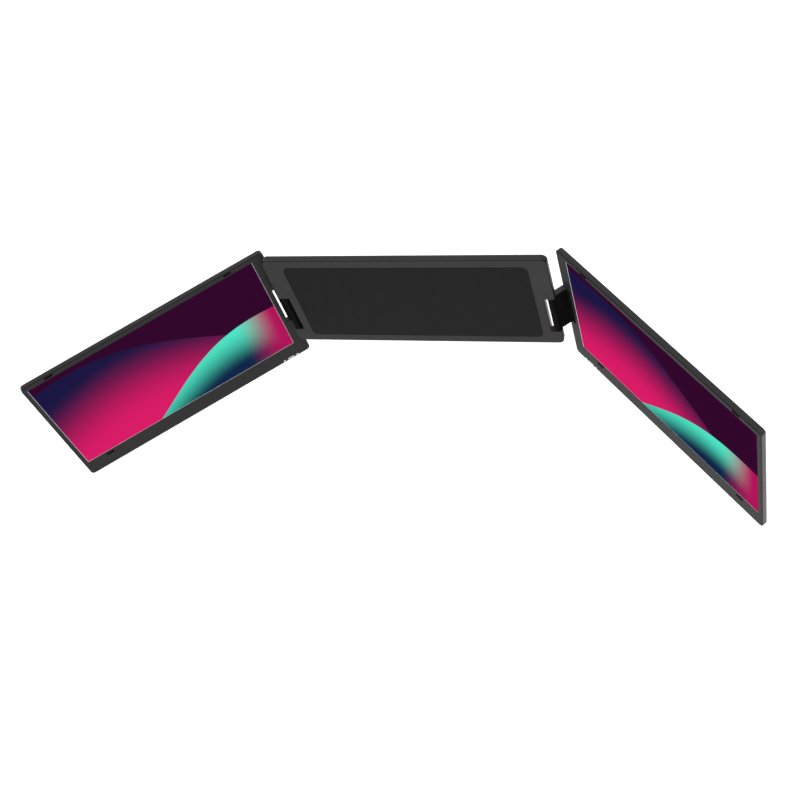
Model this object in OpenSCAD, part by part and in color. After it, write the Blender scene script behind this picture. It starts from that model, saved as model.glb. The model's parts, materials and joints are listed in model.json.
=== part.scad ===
// Clip-behind frame that carries two folding screens, one on each side of a laptop lid.
// X runs along the frame, +Y points away from the user and +Z is up.
// The origin is the centre of the lid pad's front face, where the laptop lid rests.

/* [Frame] */
// Width of the frame between its outer edges
frame_w = 348; // [330:1:380]
// Height of the frame
frame_h = 167; // [160:1:190]
// Thickness of the frame from front cover to back
frame_t = 9.5; // [9.5:0.1:12]
// Corner radius of the frame seen from the front
frame_corner_r = 7; // [5:0.5:9]
// Thickness of the front cover
cover_t = 2; // [1.8:0.1:2.4]
// Thickness of the housing's side walls
frame_wall = 1.6; // [1.2:0.1:2]
// Thickness of the housing's back wall
frame_back_wall = 1.5; // [1.2:0.1:1.8]
// Thickness of the stiffening ribs inside the housing
rib_t = 1.2; // [0.8:0.1:2]

/* [Hinge bays] */
// Height of a hinge bay, the same in the frame and in the screens
bay_h = 67.8; // [60:0.2:72]
// Height of the frame left below its bays
foot_h = 23.4; // [20:0.2:27]
// Depth of a frame's bay measured in from the outer edge
bay_d = 13; // [12.8:0.1:14]
// Distance from the frame's outer edge in to the hinge axis
frame_axis_inset = 5.2; // [4.9:0.05:5.3]
// Rounding of the bays' inner edges at the back
bay_edge_r = 0.5; // [0.3:0.1:1.2]
// Depth of a screen's bay measured in from the hinge-side edge
notch_d = 10.5; // [9.8:0.1:10.8]
// Distance from a screen's hinge-side edge in to its hinge axis
screen_axis_inset = 4; // [3.9:0.05:4.1]

/* [Hinge arms] */
// Length of the left arm between its two axes
arm_len_left = 20.4; // [20:0.1:21.5]
// Length of the right arm, longer so that its screen folds over the left one
arm_len_right = 23.9; // [23.6:0.1:25]
// Angle of the left arm, back from straight out
arm_angle_left = 44.8; // [20:0.1:60]
// Angle of the right arm, back from straight out
arm_angle_right = 40.1; // [20:0.1:60]
// How far the arm's barrels lie inside the faces of the frame and of the screens
barrel_sink = 0.12; // [0.05:0.01:0.3]
// How far the web between the barrels reaches forward of their axes
web_front = 2; // [1.5:0.1:2.1]
// How far the web reaches back of the axes
web_back = 3.8; // [3:0.1:3.8]
// Gap between an end of the arm and the end of its bay
arm_end_gap = 0.6; // [0.5:0.05:1]
// Chamfer round the ends of the arm
arm_chamfer = 0.5; // [0.2:0.1:0.6]
// Diameter of the hinge pins
pin_d = 3.4; // [3:0.1:3.5]
// Wall of the flanged bushes
bush_wall = 0.8; // [0.6:0.05:0.9]
// Length of a bush inside the arm
bush_len = 9; // [6:0.5:12]
// Width of a bush's flange beyond its sleeve
bush_flange_w = 0.7; // [0.4:0.05:0.7]
// Running clearance round a pin, measured on the radius
running_gap = 0.05; // [0.02:0.01:0.08]
// Seating clearance between pieces of one assembly
seat_gap = 0.02; // [0.01:0.01:0.05]
// Clearance round a pin where it only passes a wall
pass_gap = 0.15; // [0.1:0.05:0.3]

/* [Screens] */
// Length of a screen from its hinge-side edge to its outer edge
screen_w = 333; // [320:1:345]
// Height of a screen
screen_h = 208; // [204:1:214]
// Thickness of a screen
screen_t = 8; // [8:0.1:9]
// Corner radius of a screen seen from the front
screen_corner_r = 5; // [4:0.5:6]
// Rounding of the front edges
front_edge_r = 1; // [0.5:0.1:1.2]
// Rounding of the back edges
back_edge_r = 2; // [1:0.1:2.4]
// Angle of the left screen, toed in towards the user
screen_angle_left = 38.1; // [20:0.1:60]
// Angle of the right screen, toed in towards the user
screen_angle_right = 45.2; // [20:0.1:60]
// Thickness of the bezel plate
bezel_t = 1.6; // [1.5:0.1:1.8]
// Wall of the rear shell
shell_wall = 1.5; // [1.2:0.1:1.7]
// Back wall of the rear shell
shell_back_wall = 1.4; // [1.2:0.1:1.6]

/* [Picture] */
// Bezel between the hinge-side edge and the picture
bezel_hinge = 17.3; // [17:0.1:18]
// Bezel between the picture and the outer edge
bezel_outer = 6.3; // [6:0.1:8]
// Bezel above the picture
bezel_top = 7.5; // [7:0.1:9]
// Bezel below the picture
bezel_bottom = 26.5; // [24:0.1:28]
// Width of the gasket that lines the bezel window
gasket_w = 0.6; // [0.4:0.1:0.8]
// Depth from the bezel front to the gasket
gasket_depth = 0.6; // [0.3:0.05:0.6]
// Thickness of the cover glass
glass_t = 0.75; // [0.6:0.05:0.85]
// Width of the glass hidden behind the bezel
glass_lap = 2; // [1.5:0.1:2.2]
// Thickness of the LCD module
lcd_t = 3; // [2.6:0.1:3.1]
// Connector strip of the module below the picture
lcd_strip = 6; // [4:0.5:8]

/* [Controls and ports] */
// Height of the button row over the bottom edge
button_rise = 3.1; // [3:0.05:3.4]
// Diameter of the power button
power_d = 3; // [2.6:0.1:3]
// Distance from the hinge-side edge to the power button
power_u = 38.7; // [37:0.1:42]
// Length of the menu button
menu_len = 9.6; // [8:0.1:9.8]
// Distance from the hinge-side edge to the menu button
menu_u = 29; // [28:0.1:30]
// Length of the input button
input_len = 4; // [3:0.1:4.2]
// Distance from the hinge-side edge to the input button
input_u = 19.6; // [18:0.1:20]
// Height of the long buttons
button_h = 2.2; // [1.8:0.1:2.4]
// How far a button stands out of the bezel
button_proud = 0.3; // [0.2:0.05:0.5]
// How far a button travels
button_travel = 0.4; // [0.2:0.05:0.45]
// Clearance between a button and its hole
button_gap = 0.15; // [0.1:0.05:0.2]
// Width of a power and data socket
usb_w = 8.9; // [8.6:0.1:9.2]
// Height of a power and data socket
usb_h = 3.2; // [3:0.1:3.2]
// Distance from the hinge-side edge to the first socket
usb_u = 75; // [72:1:78]
// Distance between the two sockets
usb_pitch = 17; // [14:0.5:18]
// Width of the video socket
hdmi_w = 11.2; // [10.8:0.1:11.6]
// Height of the video socket
hdmi_h = 3.2; // [3:0.1:3.2]
// Distance from the hinge-side edge to the video socket
hdmi_u = 113; // [110:1:118]
// Depth of the sockets
port_depth = 7.3; // [6.5:0.1:8]
// Sheet thickness of the sockets
port_wall = 0.35; // [0.25:0.05:0.4]

/* [Pads and magnets] */
// Frame face left beside the lid pad
pad_side_margin = 24; // [22:0.5:40]
// Frame face left above and below the lid pad
pad_top_margin = 13.5; // [13:0.5:20]
// Corner radius of the lid pad
pad_corner_r = 8; // [4:0.5:12]
// Thickness of the lid pad
pad_t = 1; // [0.8:0.1:1.2]
// How far the lid pad stands out of the front cover
pad_proud = 0.5; // [0.3:0.1:0.6]
// Diameter of the holding magnets
magnet_d = 12; // [8:0.5:14]
// Thickness of the holding magnets
magnet_t = 1.5; // [1:0.1:1.5]
// Distance from the lid pad's side edge to the outer magnets
magnet_side = 30; // [20:1:36]
// Distance from the lid pad's top or bottom edge to the magnets
magnet_drop = 20; // [16:0.5:30]
// Distance between two magnets side by side
magnet_pitch = 48; // [40:1:52]
// Length of a corner pad on a screen
bumper_len = 11; // [8:0.5:13]
// Width of a corner pad
bumper_w = 2.5; // [2:0.1:3]
// Thickness of a corner pad
bumper_t = 1; // [0.9:0.05:1.2]
// How far a corner pad stands out of the bezel
bumper_proud = 0.6; // [0.4:0.05:0.6]
// Distance from the top edge to the middle of the upper corner pads
bumper_drop = 3; // [2.8:0.1:3.4]
// Distance from the picture down to the middle of the lower corner pads
bumper_below = 5.3; // [5:0.1:7]
// Distance from the hinge-side edge to the middle of the inner corner pads
bumper_hinge_u = 50; // [40:1:60]
// Distance from the outer edge to the middle of the outer corner pads
bumper_outer_inset = 36.5; // [30:0.5:50]

/* [Kickstand] */
// Width of the kickstand
stand_w = 114; // [90:1:130]
// Thickness of the kickstand plate
stand_t = 2.2; // [1.8:0.1:2.4]
// Distance from the frame's top edge down to the kickstand's axis
stand_drop = 55.5; // [50:0.5:62]
// Frame left below the kickstand's recess
stand_lip = 5.4; // [4:0.2:12]
// Corner radius of the plate's lower corners
stand_corner_r = 6; // [3:0.5:10]
// Length of the rubber foot beyond the plate
foot_len = 3.6; // [3:0.1:4]
// Width of the rubber foot
foot_w = 72; // [50:1:80]
// Diameter of the kickstand pin
stand_pin_d = 2; // [1.5:0.1:2.2]
// Radius of the kickstand's knuckle
knuckle_r = 2.2; // [2:0.05:2.25]
// Clearance round the kickstand in its recess
stand_gap = 0.5; // [0.3:0.05:0.6]

/* [Fasteners] */
// Diameter of a screw's shank
screw_d = 1.6; // [1.2:0.1:2]
// Diameter of a screw's head
screw_head_d = 3.2; // [3:0.1:3.4]
// Height of a screw's head
screw_head_h = 0.7; // [0.6:0.05:0.8]
// Diameter of the screw bosses
boss_d = 4.4; // [4:0.1:4.8]
// Distance from the frame's side edges to its screws
frame_screw_side = 8; // [7.5:0.5:9]
// Distance from the frame's top and bottom edges to its screws
frame_screw_edge = 8.5; // [8:0.5:9]
// Distance from a screen's top and bottom edges to the screws beside its bay
hinge_screw_edge = 34; // [20:1:36]
// Height of the lower row of screws over a screen's bottom edge
screw_row_rise = 11; // [9:0.5:13]

/* [Hidden] */
$fn = 64;
left = -1;
right = 1;
// Cutters reach this far past the faces they open
over = 1;

// Frame, in its own depth: 0 on the front cover's face, frame_t on the back
bay_z = foot_h + bay_h / 2 - frame_h / 2;
axis_x = frame_w / 2 - frame_axis_inset;
axis_t = frame_t / 2;
bay_wall_x = frame_w / 2 - bay_d;
frame_floor = frame_t - frame_back_wall;
pad_sink = pad_t - pad_proud;
frame_edge_r = 0.8;
pad_w = frame_w - 2 * pad_side_margin;
pad_h = frame_h - 2 * pad_top_margin;

// Arms, their barrels and bushes
arm_h = bay_h - 2 * arm_end_gap;
frame_barrel_r = frame_t / 2 - barrel_sink;
screen_barrel_r = screen_t / 2 - barrel_sink;
bush_d = pin_d + 2 * bush_wall;
flange_d = bush_d + 2 * bush_flange_w;
flange_t = arm_end_gap - 0.1;

// Ears of the hinge brackets, just past the ends of the bays
ear_h = 6;
ear_gap = 0.2;
ear_near = bay_h / 2 + frame_wall + ear_gap;
ear_far = ear_near + ear_h;
pin_len = 2 * ear_far;
spine_w = 4;
screen_plate_w = 15;

// Kickstand and its recess in the back of the frame
stand_z = frame_h / 2 - stand_drop;
recess_low = stand_lip - frame_h / 2;
stand_low = recess_low + stand_gap + foot_len;
stand_len = stand_z - stand_low;
stand_axis_t = frame_t - knuckle_r - 0.2;
stand_pin_end = 6;
recess_w = stand_w + 2 * stand_gap;
recess_floor = frame_t - stand_t - stand_gap - 0.1;
groove_floor = stand_axis_t - knuckle_r - 0.4;
groove_r = frame_t - stand_axis_t + 0.6;
inner_wall = 1.3;
scoop_r = 9;
plate_back = frame_t - 0.1;
foot_tongue = 3;
foot_tongue_t = 0.8;
tongue_side = 4;

// Fastening points of the frame: [across, up]
screw_x = frame_w / 2 - frame_screw_side;
screw_z = frame_h / 2 - frame_screw_edge;
frame_screw_at = [
    [-screw_x, screw_z], [0, screw_z], [screw_x, screw_z],
    [-screw_x, -screw_z], [screw_x, -screw_z]
];
magnet_x = pad_w / 2 - magnet_side;
magnet_z = pad_h / 2 - magnet_drop;
magnet_at = [
    for (x = [magnet_x - magnet_pitch, magnet_x], side = [-1, 1], z = [-1, 1])
        [side * x, z * magnet_z]
];
magnet_ring_wall = 1;
// The ribs stand midway between the magnets and reach above them
rib_x = magnet_x - magnet_pitch / 2;
rib_top = magnet_z + 14;
rib_gap = 0.4;

// Screen, in its own place: u out from the hinge-side edge, v back from the bezel front, z up
picture_w = screen_w - bezel_hinge - bezel_outer;
picture_h = screen_h - bezel_top - bezel_bottom;
picture_z = screen_h / 2 - bezel_top - picture_h / 2;
picture_u = bezel_hinge + picture_w / 2;
shell_floor = screen_t - shell_back_wall;
// The bay's front edge is rounded through the whole bezel, so that the arm can fold over it
notch_front_r = bezel_t;
lcd_v = bezel_t;
lcd_border = 2.2;
bottom_z = -screen_h / 2;
bumper_high = screen_h / 2 - bumper_drop;
bumper_low = picture_z - picture_h / 2 - bumper_below;
bumper_far_u = screen_w - bumper_outer_inset;

// Boards inside a screen
board_t = 0.8;
board_v = shell_floor - 0.1 - board_t;
driver_board_before = 13;
driver_board_beyond = 37;
driver_board_u = [usb_u - driver_board_before, hdmi_u + driver_board_beyond];
driver_board_rise = 2;
driver_board_h = 40;
chip_w = 11;
chip_pitch = 26;
button_board_before = 7.6;
button_board_beyond = 7.3;
button_board_u = [input_u - button_board_before, power_u + button_board_beyond];
button_board_top = 12;
switch_w = 3.4;
switch_h = 3;
switch_t = 1.6;
plunger_d = 1.4;

// Screws of a screen: two beside its bay, the rest in a row clear of the boards
screw_row_z = bottom_z + screw_row_rise;
hinge_screw_u = 8;
row_first_u = (button_board_u[1] + driver_board_u[0]) / 2;
board_screw_gap = 15;
outer_screw_inset = 15;
row_second_u = driver_board_u[1] + board_screw_gap;
row_last_u = screen_w - outer_screw_inset;
screen_screw_at = [
    [hinge_screw_u, screen_h / 2 - hinge_screw_edge],
    [hinge_screw_u, hinge_screw_edge - screen_h / 2],
    [row_first_u, screw_row_z],
    [row_second_u, screw_row_z],
    [(row_second_u + row_last_u) / 2, screw_row_z],
    [row_last_u, screw_row_z]
];

// Buttons and sockets
button_z = bottom_z + button_rise;
flange_v = bezel_t + 0.1;
button_flange_t = 0.6;
button_flange_w = 0.6;
plunger_gap = 0.15;
plunger_v = flange_v + button_flange_t + button_travel + plunger_gap;
port_v = screen_t / 2;
port_z = bottom_z + 0.4;
port_tongue_t = 0.7;
port_tongue_side = 1.2;
port_tongue_from = 0.8;

// The left screen has no pad below the picture beside its buttons
function bumper_at(side) = [
    [bumper_hinge_u, bumper_high], [bumper_far_u, bumper_high], [bumper_far_u, bumper_low],
    if (side == right) [bumper_hinge_u, bumper_low]
];
function arm_len(side) = side == left ? arm_len_left : arm_len_right;
function arm_angle(side) = side == left ? arm_angle_left : arm_angle_right;
function screen_angle(side) = side == left ? screen_angle_left : screen_angle_right;

// ---- Placing ----

// Frame depth 0 is the face of the front cover, just behind the face of the lid pad
module on_frame() {
    translate([0, pad_proud, 0]) children();
}

// Everything on the left is the mirror of its like on the right
module on_side(side) {
    mirror([side == left ? 1 : 0, 0, 0]) children();
}

// Arm place: x along the arm from its frame axis, z from the bay centre
module on_arm(side) {
    on_side(side)
        on_frame()
            translate([axis_x, axis_t, bay_z])
                rotate([0, 0, arm_angle(side)]) children();
}

// Screen place: the hinge-side edge at u = 0, the bezel front at v = 0
module on_screen(side) {
    on_arm(side)
        translate([arm_len(side), 0, 0])
            rotate([0, 0, -arm_angle(side) - screen_angle(side)])
                translate([-screen_axis_inset, -screen_t / 2, 0]) children();
}

// ---- Shapes ----

module rounded_rect(w, h, r) {
    square([w - 2 * r, h], center = true);
    square([w, h - 2 * r], center = true);
    for (x = [-1, 1], z = [-1, 1])
        translate([x * (w / 2 - r), z * (h / 2 - r)]) circle(r);
}

module stadium(len, w) {
    square([len - w, w], center = true);
    for (x = [-1, 1]) translate([x * (len - w) / 2, 0]) circle(d = w);
}

// A flat form drawn as seen from the front, standing up between two depths
module plate(from, to) {
    translate([0, from, 0])
        mirror([0, 1, 0]) rotate([90, 0, 0]) linear_extrude(to - from) children();
}

// What a rounding of radius r takes off a corner whose two faces meet at the origin
module edge_cut(r) {
    difference() {
        translate([-r, -r]) square(r + over);
        translate([-r, -r]) circle(r);
    }
}

// Section of a slab's rim: r deep in plan, t thick, with its front and back edges rounded
module rim_section(r, t, front_r, back_r) {
    difference() {
        square([r, t]);
        if (front_r > 0) translate([r, 0]) mirror([0, 1]) edge_cut(front_r);
        if (back_r > 0) translate([r, t]) edge_cut(back_r);
    }
}

// A slab with round corners and rounded front and back edges, from depth 0 to t
module slab(w, h, t, r, front_r, back_r) {
    for (x = [0, 1], z = [0, 1])
        mirror([x, 0, 0]) mirror([0, 0, z])
            translate([w / 2 - r, 0, h / 2 - r])
                rotate([-90, -90, 0])
                    rotate_extrude(angle = 90) rim_section(r, t, front_r, back_r);
    for (x = [0, 1])
        mirror([x, 0, 0])
            translate([w / 2 - r, 0, r - h / 2])
                linear_extrude(h - 2 * r) rim_section(r, t, front_r, back_r);
    for (z = [0, 1])
        mirror([0, 0, z])
            translate([r - w / 2, 0, h / 2 - r])
                rotate([90, 0, 90])
                    linear_extrude(w - 2 * r)
                        mirror([1, 0]) rotate(90) rim_section(r, t, front_r, back_r);
    translate([r - w / 2, 0, r - h / 2]) cube([w - 2 * r, t, h - 2 * r]);
}

// A bay of depth d opened inwards from the edge at x = 0, through thickness t
module bay_cut(d, t, front_r, back_r) {
    translate([-over, -over, -bay_h / 2]) cube([d + over, t + 2 * over, bay_h]);
    translate([d, 0, -bay_h / 2])
        linear_extrude(bay_h) {
            if (front_r > 0) mirror([1, 1]) mirror([1, 0]) edge_cut(front_r);
            if (back_r > 0) translate([0, t]) mirror([1, 0]) edge_cut(back_r);
        }
}

// A pin or bore along the hinge axis, which is at x = 0 and depth 0
module axis_rod(d, len) {
    translate([0, 0, -len / 2]) cylinder(d = d, h = len);
}

// Box given by its lowest and highest corner
module block(low, high) {
    translate(low) cube(high - low);
}

module screw(len) {
    rotate([-90, 0, 0]) {
        cylinder(d = screw_d, h = len);
        translate([0, 0, len]) cylinder(d = screw_head_d, h = screw_head_h);
    }
}

// ---- Frame ----

module frame_bays(t, front_r, back_r) {
    for (side = [left, right])
        on_side(side)
            translate([frame_w / 2, 0, bay_z])
                mirror([1, 0, 0]) bay_cut(bay_d, t, front_r, back_r);
}

module frame_front() {
    color("#2b2b2d")
        on_frame()
            difference() {
                union() {
                    slab(frame_w, frame_h, cover_t, frame_corner_r, frame_edge_r, 0);
                    for (at = magnet_at)
                        translate([at[0], cover_t, at[1]])
                            rotate([-90, 0, 0])
                                cylinder(d = magnet_d + 2 * magnet_ring_wall, h = magnet_t);
                    for (at = frame_screw_at)
                        translate([at[0], cover_t, at[1]])
                            rotate([-90, 0, 0]) cylinder(d = boss_d, h = frame_floor - cover_t);
                }
                frame_bays(cover_t, frame_edge_r, 0);
                plate(-over, pad_sink)
                    rounded_rect(pad_w + 2 * seat_gap, pad_h + 2 * seat_gap, pad_corner_r);
                for (at = magnet_at)
                    translate([at[0], cover_t, at[1]])
                        rotate([-90, 0, 0]) cylinder(d = magnet_d + 2 * seat_gap, h = magnet_t + over);
                for (at = frame_screw_at)
                    translate([at[0], cover_t + 0.5, at[1]])
                        rotate([-90, 0, 0]) cylinder(d = screw_d + 2 * seat_gap, h = frame_t);
            }
}

// Space inside the frame housing, clear of the bays and of the kickstand's recess
module frame_cavity() {
    difference() {
        plate(cover_t - over, frame_floor)
            rounded_rect(frame_w - 2 * frame_wall, frame_h - 2 * frame_wall,
                         frame_corner_r - frame_wall);
        for (side = [left, right])
            on_side(side)
                block([bay_wall_x - frame_wall, 0, bay_z - bay_h / 2 - frame_wall],
                      [frame_w / 2, frame_t, bay_z + bay_h / 2 + frame_wall]);
        block([-recess_w / 2 - inner_wall, recess_floor - inner_wall, -frame_h / 2],
              [recess_w / 2 + inner_wall, frame_t, stand_z]);
        block([-recess_w / 2 - stand_pin_end - inner_wall, groove_floor - inner_wall,
               stand_z - groove_r - inner_wall],
              [recess_w / 2 + stand_pin_end + inner_wall, frame_t, stand_z + groove_r + inner_wall]);
        for (x = [-rib_x, rib_x])
            block([x - rib_t / 2, cover_t + rib_gap, -frame_h / 2], [x + rib_t / 2, frame_t, rib_top]);
        block([-frame_w / 2, cover_t + rib_gap, rib_top], [frame_w / 2, frame_t, rib_top + rib_t]);
    }
}

module frame_rear() {
    color("#242426")
        on_frame()
            difference() {
                translate([0, cover_t, 0])
                    slab(frame_w, frame_h, frame_t - cover_t, frame_corner_r, 0, back_edge_r);
                frame_cavity();
                translate([0, cover_t, 0]) frame_bays(frame_t - cover_t, 0, bay_edge_r);
                // Plate recess, knuckle groove and finger scoop of the kickstand
                block([-recess_w / 2, recess_floor, recess_low],
                      [recess_w / 2, frame_t + over, stand_z]);
                block([-recess_w / 2, groove_floor, stand_z - groove_r],
                      [recess_w / 2, frame_t + over, stand_z + groove_r]);
                translate([0, recess_floor, -frame_h / 2])
                    rotate([-90, 0, 0]) cylinder(r = scoop_r, h = frame_t);
                translate([0, stand_axis_t, stand_z])
                    rotate([0, 90, 0])
                        cylinder(d = stand_pin_d + 2 * seat_gap,
                                 h = recess_w + 2 * stand_pin_end + 2 * seat_gap, center = true);
                for (side = [left, right])
                    on_side(side)
                        translate([axis_x, axis_t, bay_z])
                            axis_rod(pin_d + 2 * pass_gap, pin_len + 2 * ear_gap);
                for (at = frame_screw_at)
                    translate([at[0], frame_floor - over, at[1]])
                        rotate([-90, 0, 0]) cylinder(d = screw_d + 2 * seat_gap, h = frame_t);
                for (at = frame_screw_at)
                    translate([at[0], frame_t - screw_head_h, at[1]])
                        rotate([-90, 0, 0])
                            cylinder(d = screw_head_d + 2 * pass_gap, h = frame_t);
            }
}

module lid_pad() {
    color("#18181a")
        on_frame() plate(-pad_proud, pad_sink) rounded_rect(pad_w, pad_h, pad_corner_r);
}

module lid_magnets() {
    color("#b9bcc0")
        on_frame()
            for (at = magnet_at)
                translate([at[0], cover_t, at[1]])
                    rotate([-90, 0, 0]) cylinder(d = magnet_d, h = magnet_t);
}

module frame_screws() {
    color("#6b6d70")
        on_frame()
            for (at = frame_screw_at)
                translate([at[0], cover_t + 1, at[1]])
                    screw(frame_t - screw_head_h - cover_t - 1);
}

// Steel bracket behind the bay: a spine with an ear past each end, which holds the pin
module frame_bracket(side) {
    spine = [bay_wall_x - frame_wall - ear_gap - spine_w, bay_wall_x - frame_wall - ear_gap];
    depth = [cover_t + 0.3, frame_floor - 0.3];
    color("#8e9297")
        on_side(side)
            on_frame()
                translate([0, 0, bay_z])
                    difference() {
                        union() {
                            block([spine[0], depth[0], -ear_far], [spine[1], depth[1], ear_far]);
                            for (low = [-ear_far, ear_near])
                                block([spine[0], depth[0], low],
                                      [frame_w / 2 - frame_wall - ear_gap, depth[1], low + ear_h]);
                        }
                        translate([axis_x, axis_t, 0])
                            axis_rod(pin_d + 2 * seat_gap, pin_len + 2 * over);
                    }
}

module frame_pin(side) {
    color("#a4a7ab") on_arm(side) axis_rod(pin_d, pin_len);
}

// ---- Kickstand ----

module kickstand_pin() {
    color("#a4a7ab")
        on_frame()
            translate([0, stand_axis_t, stand_z])
                rotate([0, 90, 0])
                    cylinder(d = stand_pin_d, h = recess_w + 2 * stand_pin_end, center = true);
}

module kickstand() {
    corner = stand_corner_r;
    color("#2a2a2c")
        on_frame()
            difference() {
                union() {
                    plate(plate_back - stand_t, plate_back) {
                        translate([0, (stand_low + stand_z) / 2 + corner / 2])
                            square([stand_w, stand_len - corner], center = true);
                        translate([0, stand_low + corner / 2])
                            square([stand_w - 2 * corner, corner], center = true);
                        for (x = [-1, 1])
                            translate([x * (stand_w / 2 - corner), stand_low + corner])
                                circle(corner);
                    }
                    translate([0, stand_axis_t, stand_z])
                        rotate([0, 90, 0]) cylinder(r = knuckle_r, h = stand_w, center = true);
                }
                translate([0, stand_axis_t, stand_z])
                    rotate([0, 90, 0])
                        cylinder(d = stand_pin_d + 2 * running_gap, h = stand_w + over, center = true);
                // Slot that holds the tongue of the rubber foot
                block([-foot_w / 2 + tongue_side - seat_gap, plate_back - stand_t / 2 - foot_tongue_t / 2,
                       stand_low - over],
                      [foot_w / 2 - tongue_side + seat_gap, plate_back - stand_t / 2 + foot_tongue_t / 2,
                       stand_low + foot_tongue]);
            }
}

module kickstand_foot() {
    color("#151516")
        on_frame() {
            block([-foot_w / 2, plate_back - stand_t, stand_low - foot_len],
                  [foot_w / 2, plate_back, stand_low]);
            block([-foot_w / 2 + tongue_side, plate_back - stand_t / 2 - foot_tongue_t / 2, stand_low],
                  [foot_w / 2 - tongue_side, plate_back - stand_t / 2 + foot_tongue_t / 2,
                   stand_low + foot_tongue]);
        }
}

// ---- Arms ----

// A turned barrel with its ends chamfered
module barrel(r) {
    rotate_extrude()
        polygon([
            [0, -arm_h / 2], [r - arm_chamfer, -arm_h / 2],
            [r, arm_chamfer - arm_h / 2], [r, arm_h / 2 - arm_chamfer],
            [r - arm_chamfer, arm_h / 2], [0, arm_h / 2]
        ]);
}

// The web between the barrels, with the same chamfer along its top and bottom
module web(len) {
    rotate([90, 0, 90])
        linear_extrude(len)
            polygon([
                [arm_chamfer - web_front, -arm_h / 2], [web_back - arm_chamfer, -arm_h / 2],
                [web_back, arm_chamfer - arm_h / 2], [web_back, arm_h / 2 - arm_chamfer],
                [web_back - arm_chamfer, arm_h / 2], [arm_chamfer - web_front, arm_h / 2],
                [-web_front, arm_h / 2 - arm_chamfer], [-web_front, arm_chamfer - arm_h / 2]
            ]);
}

module arm(side) {
    color("#161617")
        on_arm(side)
            difference() {
                union() {
                    web(arm_len(side));
                    barrel(frame_barrel_r);
                    translate([arm_len(side), 0, 0]) barrel(screen_barrel_r);
                }
                for (x = [0, arm_len(side)])
                    translate([x, 0, 0]) {
                        axis_rod(pin_d + 4 * pass_gap, arm_h + 2 * over);
                        for (z = [0, 1])
                            mirror([0, 0, z])
                                translate([0, 0, arm_h / 2 - bush_len])
                                    cylinder(d = bush_d + 2 * seat_gap, h = bush_len + over);
                    }
            }
}

// Four flanged bushes, one in each end of both barrels
module arm_bushes(side) {
    color("#9a7b3f")
        on_arm(side)
            for (x = [0, arm_len(side)], z = [0, 1])
                translate([x, 0, 0])
                    mirror([0, 0, z])
                        difference() {
                            union() {
                                translate([0, 0, arm_h / 2 - bush_len])
                                    cylinder(d = bush_d, h = bush_len);
                                translate([0, 0, arm_h / 2]) cylinder(d = flange_d, h = flange_t);
                            }
                            translate([0, 0, arm_h / 2 - bush_len - over])
                                cylinder(d = pin_d + 2 * running_gap, h = bush_len + 3 * over);
                        }
}

// ---- Screens ----

module on_picture() {
    translate([picture_u, 0, picture_z]) children();
}

// The two long buttons and the round one as flat forms, each grown by a gap
module button_outlines(gap) {
    translate([power_u, button_z]) circle(d = power_d + 2 * gap);
    translate([menu_u, button_z]) stadium(menu_len + 2 * gap, button_h + 2 * gap);
    translate([input_u, button_z]) stadium(input_len + 2 * gap, button_h + 2 * gap);
}

module bumper_outline(side, gap) {
    for (at = bumper_at(side)) translate(at) stadium(bumper_len + 2 * gap, bumper_w + 2 * gap);
}

module screen_bezel(side) {
    window_w = picture_w + 2 * gasket_w;
    window_h = picture_h + 2 * gasket_w;
    color("#343436")
        on_screen(side)
            difference() {
                union() {
                    translate([screen_w / 2, 0, 0])
                        slab(screen_w, screen_h, bezel_t, screen_corner_r, front_edge_r, 0);
                    for (at = screen_screw_at)
                        translate([at[0], bezel_t, at[1]])
                            rotate([-90, 0, 0]) cylinder(d = boss_d, h = shell_floor - bezel_t);
                }
                bay_cut(notch_d, bezel_t, notch_front_r, 0);
                on_picture()
                    plate(-over, screen_t) square([window_w, window_h], center = true);
                on_picture()
                    plate(bezel_t - glass_t, screen_t)
                        square([picture_w + 2 * glass_lap + 2 * seat_gap,
                                picture_h + 2 * glass_lap + 2 * seat_gap], center = true);
                plate(-over, bumper_t - bumper_proud) bumper_outline(side, seat_gap);
                plate(-over, bezel_t + over) button_outlines(button_gap);
                for (at = screen_screw_at)
                    translate([at[0], bezel_t + 0.4, at[1]])
                        rotate([-90, 0, 0]) cylinder(d = screw_d + 2 * seat_gap, h = screen_t);
            }
}

// Outline of a socket as seen from its mouth, centred
module usb_outline(gap) {
    stadium(usb_w + 2 * gap, usb_h + 2 * gap);
}

module hdmi_outline(gap) {
    half = hdmi_w / 2 + gap;
    high = hdmi_h / 2 + gap;
    shoulder = 1.4;
    polygon([
        [-half, -high], [half, -high], [half, high - shoulder], [half - shoulder, high],
        [shoulder - half, high], [-half, high - shoulder]
    ]);
}

// A flat form standing on a socket's place and running up into the screen
module socket(u, from, depth) {
    translate([u, port_v, port_z + from]) linear_extrude(depth) children();
}

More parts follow.
